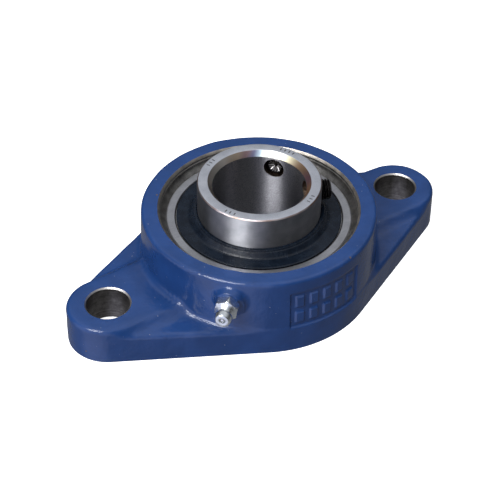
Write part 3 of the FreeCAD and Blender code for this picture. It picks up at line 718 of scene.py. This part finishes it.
def flange_foot(turns):
    """The flange outline's radius at each angle, found by halving."""
    cosine, sine = np.cos(turns), np.sin(turns)
    low, high = np.full(len(turns), FOOT_R - 1.0), np.full(len(turns), BOLT_X + EAR_R + 1.0)
    for _ in range(40):
        foot = (low + high) / 2
        outside = outline_gap(foot * cosine, foot * sine) > 0
        high = np.where(outside, foot, high)
        low = np.where(outside, low, foot)
    return foot


def cast_rays(turns):
    """Radius and height where rays from inside the wall leave the casting, from foot to mouth."""
    rays, hub_r, hub_z = 420, 40.5, 5.0
    cosine, sine = np.cos(turns)[:, None], np.sin(turns)[:, None]
    foot = flange_foot(turns)
    start = np.arctan2(-hub_z, foot - hub_r)[:, None]
    end = math.atan2(TOP - hub_z, MOUTH_R + MOUTH_CHAMFER - hub_r)
    swing = start + (end - start) * np.linspace(0, 1, rays)
    near, far = np.zeros_like(swing), np.full_like(swing, 60.0)
    for _ in range(34):
        reach = (near + far) / 2
        radius, height = hub_r + reach * np.cos(swing), hub_z + reach * np.sin(swing)
        outside = casting_distance(radius * cosine, radius * sine, height) > 0
        far = np.where(outside, reach, far)
        near = np.where(outside, near, reach)
    radius, height = hub_r + near * np.cos(swing), hub_z + near * np.sin(swing)
    radius[:, 0], height[:, 0] = foot, 0.0
    radius[:, -1], height[:, -1] = MOUTH_R + MOUTH_CHAMFER, TOP
    return radius, height


def spread_rows(radius, height, rows=112):
    """Points along one profile, closer together where it bends."""
    step_r, step_z = np.diff(radius), np.diff(height)
    heading = np.unwrap(np.arctan2(step_z, step_r))
    bend = np.abs(np.diff(heading, append=heading[-1]))
    bend = np.convolve(bend, np.ones(9) / 9, "same")
    travel = np.concatenate([[0], np.cumsum(np.hypot(step_r, step_z) + 7.0 * bend)])
    marks = np.linspace(0, travel[-1], rows)
    return np.interp(marks, travel, radius), np.interp(marks, travel, height)


def skin_columns(turns):
    """For each angle, the casting's outside from the mounting face up and in to the mouth."""
    profiles = [spread_rows(radius, height) for radius, height in zip(*cast_rays(turns))]
    return np.array(profiles).transpose(1, 0, 2)


def bore_path():
    """(radius, height, look) down the machined bore, from the top chamfer to the back."""
    flare_low_back = 2 * BALL_Z - FLARE_TOP
    flare_high_back = 2 * BALL_Z - FLARE_LOW
    path = [
        (MOUTH_R + 0.06, TOP - MOUTH_CHAMFER, "lip"),
        (MOUTH_R, TOP - MOUTH_CHAMFER - 0.15, "bore"),
        (MOUTH_R - 0.02, FLARE_TOP + 0.85, "bore"),
        (MOUTH_R - 0.22, FLARE_TOP + 0.72, "lip"),
        (MOUTH_R - 0.24, FLARE_TOP + 0.5, "lip"),
        (MOUTH_R - 0.02, FLARE_TOP + 0.35, "bore"),
        (MOUTH_R - 0.05, FLARE_TOP, "bore"),
    ]
    for share in (0.25, 0.5, 0.75):
        sag = 0.25 * math.sin(math.pi * share)
        across = MOUTH_R - (MOUTH_R - SEAT_EDGE_R) * share + sag * 0.5
        path.append((across, FLARE_TOP - (FLARE_TOP - FLARE_LOW) * share - sag * 0.5, "bore"))
    edge = math.acos(SEAT_EDGE_R / SEAT_R)
    for step in range(17):
        tilt = edge - 2 * edge * step / 16
        path.append((SEAT_R * math.cos(tilt), BALL_Z + SEAT_R * math.sin(tilt), "bore"))
    path += [
        (MOUTH_R - 1.1, (flare_high_back + flare_low_back) / 2, "bore"),
        (MOUTH_R, flare_low_back, "bore"),
        (MOUTH_R, (flare_low_back + MOUTH_CHAMFER) / 2, "bore"),
        (MOUTH_R, MOUTH_CHAMFER, "bore"),
        (MOUTH_R + MOUTH_CHAMFER, 0.0, "lip"),
    ]
    return path


def loading_slot(turns, radius, height):
    """The bore's radius where the two slots that let the insert in open it out."""
    in_slot = (np.abs(radius * np.cos(turns)) < SLOT_HALF_WIDTH) & (height < BALL_Z)
    return np.where(in_slot, np.maximum(radius, SEAT_R), radius)


def housing_rows(turns):
    """Each row's radii, heights and look, over the skin, down the bore and out over the back."""
    skin_r, skin_z = skin_columns(turns)
    radii, heights = list(skin_r.T), list(skin_z.T)
    names = ["enamel"] * (len(radii) - 1) + ["lip_iron"]
    for radius, height, kind in bore_path():
        radii.append(loading_slot(turns, np.full(len(turns), radius), height))
        heights.append(np.full(len(turns), height))
        names.append(kind + "_iron")
    names[-1] = "face_iron"
    back_rows = 5
    for row in range(1, back_rows):
        share = row / back_rows
        radii.append((1 - share) * radii[-row] + share * skin_r[:, 0])
        heights.append(np.zeros(len(turns)))
        names.append("face_iron")
    return np.array(radii), np.array(heights), names, skin_r.shape[1]


def housing():
    """The whole casting as one closed mesh: skin, machined bore and mounting face."""
    turns = column_angles()
    radius, height, names, skin_rows = housing_rows(turns)
    x, y, height = weathered(radius * np.cos(turns), radius * np.sin(turns), height, skin_rows)
    points = np.stack([x, y, height], axis=-1).reshape(-1, 3)
    kinds = ["enamel", "bore_iron", "lip_iron", "face_iron", "hole_iron"]
    face_looks = np.repeat([kinds.index(name) for name in names], len(turns))
    faces = grid_faces(len(radius), len(turns), True)
    piece = make_mesh("housing_casting", points, faces, [LOOKS[kind] for kind in kinds], face_looks)
    face_outwards(piece)
    carve(piece, *bolt_hole_tools())
    paint_holes(piece, kinds.index("hole_iron"))
    smooth(piece, 32)
    finish_piece(piece, "housing", "housing")


def weathered(x, y, height, skin_rows):
    """Sink the panel and add the casting's unevenness to the painted rows only."""
    radius = np.hypot(x, y)
    rows = slice(1, skin_rows)
    on_wall = ease((height[rows] - 3) / 3) * ease((TOP - 2 - height[rows]) / 2)
    depth = panel_depth(x[rows], y[rows], height[rows]) * on_wall
    depth = depth * (np.abs(x[rows]) < PANEL_RIGHT + 3)
    waves = casting_waves(x[rows], y[rows], height[rows])
    fade = ease(height[rows] / 2.5) * ease((radius[rows] - MOUTH_R - 1.2) / 2)
    near_bolt = np.hypot(np.abs(x[rows]) - BOLT_X, y[rows])
    lift = waves * fade * ease((near_bolt - BOLT_R - 0.6) / 1.5)
    shrink = 1 - (depth - lift) / radius[rows]
    x[rows] *= shrink
    y[rows] *= shrink
    height[rows] += lift * (height[rows] > 1) * (height[rows] < TOP - 0.4)
    return x, y, height


def bolt_hole_tools():
    """Cutters for the two bolt holes, each with its chamfers."""
    chamfer = 0.6
    path = [
        (0, -2),
        (BOLT_R + chamfer + 2, -2),
        (BOLT_R, chamfer),
        (BOLT_R, EAR_TOP - chamfer),
        (BOLT_R + chamfer + 2, EAR_TOP + 2),
        (0, EAR_TOP + 2),
    ]
    tools = []
    for side in (1, -1):
        tool = lathe("bolt_hole_cutter", path, 128)
        tools.append(lay(tool, Matrix.Translation((side * BOLT_X, 0, 0))))
    return tools


def paint_holes(piece, look_index):
    """Give the carved walls their own look."""
    limit = (BOLT_R + 0.75) * MM
    for face in piece.data.polygons:
        centre = face.center
        near = math.hypot(abs(centre.x) - BOLT_X * MM, centre.y) < limit
        if near and abs(face.normal.z) < 0.9:
            face.material_index = look_index


# ==== Insert

def screw_angles():
    """Each set screw's angle about the shaft, in degrees, from its joint's axis."""
    axes = [JOINTS[f"set_screw_{number}_travel"]["axis"] for number in (1, 2)]
    return [math.degrees(math.atan2(axis[1], axis[0])) for axis in axes]


def race_arc(centre, edge):
    """(radius, height) up a ball race's section, from one edge to the other."""
    side = math.copysign(RACE_R, edge - centre)
    reach = math.acos(abs(edge - centre) / RACE_R)
    tilts = [reach * (step / 9 - 1) for step in range(19)]
    return [(centre + side * math.cos(tilt), BALL_Z + RACE_R * math.sin(tilt)) for tilt in tilts]


def inner_ring_path():
    """(radius, height) round the ring's section: bore, back end, race, screw end, chamfer."""
    low, high = float(RING_LOW[2]), float(RING_HIGH[2])
    chamfer_foot = (BORE_R, high - CHAMFER_DEEP, 0)
    race_land = 6
    back = [
        chamfer_foot,
        (BORE_R, low + BACK_CHAMFER, 0.1),
        (BORE_R + BACK_CHAMFER, low, 0.1),
        (RING_R - RING_EDGE, low, 0.1),
        (RING_R, low + RING_EDGE, 0.1),
        (RING_R, BALL_Z - race_land, 0),
    ]
    front = [
        (RING_R, BALL_Z + race_land, 0),
        (RING_R, high - RING_EDGE, 0.15),
        (RING_R - RING_EDGE, high, 0.12),
        (BORE_R + CHAMFER_WIDE, high, 0.1),
        chamfer_foot,
    ]
    race = race_arc(INNER_RACE_CENTRE, RING_R)
    return [*rounded_path(back, 3)[:-1], *race, *rounded_path(front, 3)[1:-1]]


def inner_ring():
    """The wide inner ring with its race, edges and set screw holes."""
    ring_looks = [LOOKS["ring_steel"], LOOKS["ring_end"], LOOKS["tapped"]]
    piece = lathe("inner_ring_ground", inner_ring_path(), 256, ring_looks)
    tools = []
    for angle in screw_angles():
        path = [(0, 0), (SCREW_HOLE_R, 0), (SCREW_HOLE_R, 30), (0, 30)]
        tool = lathe("screw_hole_cutter", path, 64)
        tools.append(lay(tool, radial_frame(angle, BORE_R / 2, SCREW_Z)))
    carve(piece, *tools)
    paint_ring(piece)
    smooth(piece, 28)
    finish_piece(piece, "inner_ring", "inner_ring")


def paint_ring(piece):
    """Give the screw end with its chamfer, and the screw holes' walls, looks of their own."""
    chamfer_low = float(RING_HIGH[2]) - CHAMFER_DEEP
    for face in piece.data.polygons:
        centre = face.center / MM
        radius = math.hypot(centre.x, centre.y)
        if centre.z > chamfer_low and face.normal.z > 0.05 and radius >= BORE_R + 0.03:
            face.material_index = 1
        elif abs(centre.z - SCREW_Z) < SCREW_HOLE_R + 0.05 and BORE_R + 0.05 < radius < RING_R - 0.05:
            face.material_index = 2


def outer_ring():
    """The outer ring: spherical outside, ground faces, race and seal seats."""
    low, high = float(OUTER_LOW[2]), float(OUTER_HIGH[2])
    half = high - BALL_Z
    edge = math.asin((half - 0.35) / OUTER_R)
    path = []
    for step in range(25):
        tilt = edge * (1 - step / 12)
        path.append((OUTER_R * math.cos(tilt), BALL_Z + OUTER_R * math.sin(tilt)))
    inner = [
        (math.sqrt(OUTER_R**2 - half**2) - 0.3, low),
        (FACE_R + 0.12, low),
        (FACE_R, low + 0.12),
        (FACE_R, low + 0.8),
        (SEAL_SEAT_R, low + 0.8),
        (SEAL_SEAT_R, low + 2.55),
        (OUTER_LAND_R, low + 2.6),
    ]
    path += inner + race_arc(OUTER_RACE_CENTRE, OUTER_LAND_R)
    path += [(across, low + high - up) for across, up in reversed(inner)]
    piece = lathe("outer_ring_ground", path, 256, [LOOKS["outer_steel"]])
    smooth(piece, 28)
    finish_piece(piece, "outer_ring", "outer_ring")


def flinger(name, side, node):
    """A thin dished disc on a beaded hub; heights are from the balls' plane, outwards."""
    corners = [
        (RING_R, 9.0, 0.05),
        (30.8, 9.0, 0.05),
        (31.0, 9.2, 0.08),
        (31.0, 9.6, 0.12),
        (30.5, 9.75, 0.3),
        (26.3, 9.9, 1.4),
        (25.1, 11.9, 0.5),
        (24.75, 12.1, 0.1),
        (24.5, 12.75, 0.25),
        (23.5, 12.8, 0.25),
        (RING_R, 12.4, 0.05),
    ]
    path = rounded_path(corners, 5)
    path[:, 1] = BALL_Z + side * path[:, 1]
    piece = lathe(name, path, 224, [LOOKS["flinger"]])
    smooth(piece, 40)
    finish_piece(piece, "inner_ring", node)


def thread_radius(turn, height):
    """A V thread's radius at an angle and height, its crest a little flattened."""
    depth, pitch = 0.6, 1.0
    phase = (height / pitch - turn / (2 * math.pi)) % 1.0
    wave = np.abs(2 * phase - 1)
    return SCREW_R - depth * np.clip((wave - 0.12) / 0.8, 0, 1)


def screw_rings(turns):
    """Radii and heights of a set screw's rings, from the middle of its cup to its far end."""
    heights = np.linspace(0, SCREW_LENGTH, 97)[:, None]
    lead = np.minimum(2.75 + heights * 1.25, SCREW_R)
    tail = np.minimum(3.2 + (SCREW_LENGTH - heights) * 1.2, SCREW_R)
    thread = np.minimum(thread_radius(turns, heights), np.minimum(lead, tail))
    knurl = 0.14 * np.cos(turns * SCREW_KNURLS)
    ones = np.ones_like(turns)
    cup = [
        (0.02, 1.2 * ones),
        (0.7, 1.0 + knurl * 0.35),
        (1.5, 0.62 + knurl * 0.7),
        (2.35, 0.12 + knurl * 0.8),
        (2.62, np.clip(knurl, 0, 1) * 0.6),
    ]
    radii = np.vstack([*(across * ones for across, _ in cup), thread, 0.02 * ones])
    levels = np.broadcast_to(heights, thread.shape)
    return radii, np.vstack([*(up for _, up in cup), levels, SCREW_LENGTH * ones])


def socket_tool():
    """A cutter for a set screw's hexagon socket and its bevelled mouth."""
    flats, depth, bevel = 4.0, 4.0, 0.25
    corner = flats / 2 / math.cos(math.radians(30))
    foot, mouth, past = SCREW_LENGTH - depth, SCREW_LENGTH - bevel, SCREW_LENGTH + 2
    path = [(0, foot), (corner, foot), (corner, mouth), (corner + 2, past), (0, past)]
    return lathe("socket_cutter", path, 6)


def set_screw(number, angle):
    """A cup-point set screw with its real thread, knurled cup and hexagon socket."""
    name = f"set_screw_{number}"
    columns = 72
    turns = np.linspace(0, 2 * math.pi, columns, endpoint=False)
    radii, heights = screw_rings(turns)
    faces = grid_faces(len(radii), columns).tolist()
    faces.append(list(range(columns))[::-1])
    faces.append([(len(radii) - 1) * columns + column for column in range(columns)])
    face_looks = np.zeros(len(faces))
    worn = np.cos((turns + math.pi / columns) * SCREW_KNURLS) > 0.25
    for row in (1, 2, 3):
        face_looks[row * columns:(row + 1) * columns] = worn
    points = ring_points(radii, heights, turns)
    piece = make_mesh(name + "_threaded", points, faces, [LOOKS["black"], LOOKS["worn"]], face_looks)
    face_outwards(piece)
    carve(piece, socket_tool())
    lay(piece, radial_frame(angle, SCREW_START, SCREW_Z))
    smooth(piece, 38)
    finish_piece(piece, name, name)


# ==== Grease nipple

def nipple_profile():
    """(radius, height) from the thread's foot over hexagon, waist and head, and down the port."""
    top, tip = 3.6, NIPPLE_LENGTH
    thread = [(0.72, -5.6), (2.6, -5.6), (3.0, -5.2), (3.0, -0.05)]
    hexagon = [(4.2, 0.0), (4.5, 0.2), (4.7, 0.4), (4.7, top - 0.62), (4.42, top - 0.34), (4.06, top - 0.06)]
    waist = [(3.9, 0), (3.3, 0.55), (2.7, 1.1), (2.42, 1.35), (2.3, 1.6), (2.3, 2.1), (2.42, 2.35)]
    head = [(2.95, 2.55), (3.13, 2.7), (3.2, 2.95), (3.14, 3.5), (2.94, 4.35)]
    head += [(2.72, 4.85), (2.5, 5.12), (2.3, 5.24)]
    above = [(across, top + up) for across, up in waist + head]
    face = [(2.1, tip - 0.02), (1.8, tip), (1.15, tip)]
    port = [(1.02, tip - 0.07), (0.95, tip - 0.2), (0.95, tip - 0.35)]
    port += [(1.4, tip - 1.15), (1.4, 2.1), (0.72, 2.1)]
    return np.array(thread + hexagon + above + face + port)


def nipple():
    """The grease nipple. Its hexagon shows wherever the profile is wider than the flats."""
    columns, half_flats = 96, 4.0
    turns = np.linspace(0, 2 * math.pi, columns, endpoint=False)
    corner = math.radians(-8)
    around_flat = (turns - corner) % (math.pi / 3) - math.pi / 6
    profile = nipple_profile()
    radii = np.minimum(half_flats / np.cos(around_flat), profile[:, :1])
    points = ring_points(radii, profile[:, 1:], turns)
    faces = grid_faces(len(profile), columns, True)
    piece = make_mesh("grease_nipple_turned", points, faces, [LOOKS["zinc"]])
    face_outwards(piece)
    lay(piece, radial_frame(NIPPLE_ANGLE, NIPPLE_SEAT, NIPPLE_Z))
    smooth(piece, 30)
    finish_piece(piece, "housing", "grease_nipple_body")


def check_spring():
    """The coil spring behind the nipple's ball."""
    wire, coil, coils, sides = 0.16, 0.9, 5, 12
    outward = Vector(NIPPLE_AXIS)
    solid = frame["nodes"]["grease_nipple_spring"].data
    reach = [point.co.dot(outward) / MM for point in solid.vertices]
    foot, tip = min(reach), max(reach)
    along = np.linspace(0, 1, coils * 32 + 1)[:, None]
    turn = along * coils * 2 * math.pi
    around = np.linspace(0, 2 * math.pi, sides, endpoint=False)
    radius = coil + wire * np.cos(around)
    height = wire + (tip - foot - 2 * wire) * along + wire * np.sin(around)
    points = ring_points(radius, height, turn)
    faces = grid_faces(len(along), sides).tolist()
    faces += [list(range(sides))[::-1], list(range(len(points) - sides, len(points)))]
    piece = make_mesh("grease_nipple_coil", points, faces, [LOOKS["zinc"]])
    face_outwards(piece)
    lay(piece, radial_frame(NIPPLE_ANGLE, foot, NIPPLE_Z))
    smooth(piece, 40)
    finish_piece(piece, "housing", "grease_nipple_spring")
    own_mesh(piece)


# ==== Carried-over nodes

def carried_nodes():
    """CAD nodes whose shape is right get their own looks, by how their names start."""
    looks = {"seal_core": "cage", "seal_rubber": "rubber", "cage": "cage"}
    looks.update({"ball_": "chrome", "grease_nipple_ball": "chrome"})
    for name, node in frame["nodes"].items():
        for start, look in looks.items():
            if name.startswith(start):
                node.data.materials.clear()
                node.data.materials.append(LOOKS[look])


# ==== Stage

def floor():
    """A pale floor that lights nothing and shows in no reflection."""
    half = 4000
    corners = [(-half, -half, 0), (half, -half, 0), (half, half, 0), (-half, half, 0)]
    piece = make_mesh("floor", corners, [(0, 1, 2, 3)], [floor_look()])
    piece.location.z = -0.02 * MM
    piece.visible_glossy = False
    piece.visible_diffuse = False


def soft_light(name, direction, distance, width, tall, power):
    """An area light that faces the object from a direction. Its lengths are metres."""
    light = bpy.data.lights.new(name, "AREA")
    light.shape = "RECTANGLE"
    light.size = width
    light.size_y = tall
    light.energy = power
    lamp = bpy.data.objects.new(name, light)
    bpy.context.scene.collection.objects.link(lamp)
    towards = Vector(direction).normalized()
    lamp.location = towards * distance + Vector((0, 0, 0.02))
    lamp.rotation_euler = (-towards).to_track_quat("-Z", "Y").to_euler()
    return lamp


class Room(Look):
    """The world's nodes, built up by the same short calls."""

    def __init__(self, name):
        self.world = bpy.data.worlds.new(name)
        self.world.use_nodes = True
        self.tree = self.world.node_tree


def room():
    """A dim room that pales overhead, with a soft glow at the left."""
    look = Room("studio")
    direction = look.node("TexCoord").outputs["Generated"]
    height = look.node("SeparateXYZ", {0: direction}).outputs["Z"]
    share = look.node("MapRange", {0: height, 1: -1}).outputs[0]
    stops = [(position, [grey * tint for tint in ROOM_TINT]) for position, grey in ROOM_GREYS]
    grey = look.ramp(share, *stops, smooth_steps=False)
    facing = look.node("VectorMath", {0: direction, 1: GLOW_FROM}, operation="DOT_PRODUCT").outputs["Value"]
    glow = look.node("MapRange", {0: facing, 1: 0.5, 2: 0.76}, interpolation_type="SMOOTHSTEP").outputs[0]
    look.put(look.tree.nodes["Background"], "Color", look.mix(glow, grey, GLOW_COLOUR))
    bpy.context.scene.world = look.world


def lighting():
    """The room, a wide light overhead, and two at the left: one lights, one only reflects."""
    room()
    overhead = soft_light("overhead", (0.1, 0.1, 1.0), distance=2.2, width=2.6, tall=2.6, power=27)
    overhead.visible_glossy = False
    left_fill = soft_light("left_fill", LEFT, distance=1.1, width=0.50, tall=0.34, power=8.0)
    left_fill.visible_glossy = False
    left_box = soft_light("left_box", LEFT, distance=1.1, width=0.50, tall=0.52, power=19)
    left_box.visible_diffuse = False


def camera():
    """The camera stands where the object is seen from its set screw side, front left."""
    azimuth, elevation, roll = (math.radians(angle) for angle in (-33.04, 40.77, 0.81))
    aim = Vector((-8.48, -7.27, 20.0))
    distance = 540.6
    level = math.cos(elevation)
    ahead = Vector((-math.sin(azimuth) * level, math.cos(azimuth) * level, -math.sin(elevation)))
    right = Vector((math.cos(azimuth), math.sin(azimuth), 0))
    up = right.cross(ahead)
    turned_right = right * math.cos(roll) + up * math.sin(roll)
    turned_up = up * math.cos(roll) - right * math.sin(roll)
    data = bpy.data.cameras.new("camera")
    data.sensor_width = 36
    data.lens = 104.1
    data.clip_start = 0.01
    lens = bpy.data.objects.new("camera", data)
    bpy.context.scene.collection.objects.link(lens)
    matrix = Matrix((turned_right, turned_up, -ahead)).transposed().to_4x4()
    matrix.translation = (aim - ahead * distance) * MM
    lens.matrix_world = matrix
    bpy.context.scene.camera = lens


camera()
lighting()
floor()
housing()
outer_ring()
flinger("flinger_top_beaded", 1, "flinger_top")
flinger("flinger_bottom_beaded", -1, "flinger_bottom")
inner_ring()
for number, angle in enumerate(screw_angles(), start=1):
    set_screw(number, angle)
nipple()
check_spring()
carried_nodes()
bpy.context.scene.view_settings.view_transform = "Standard"
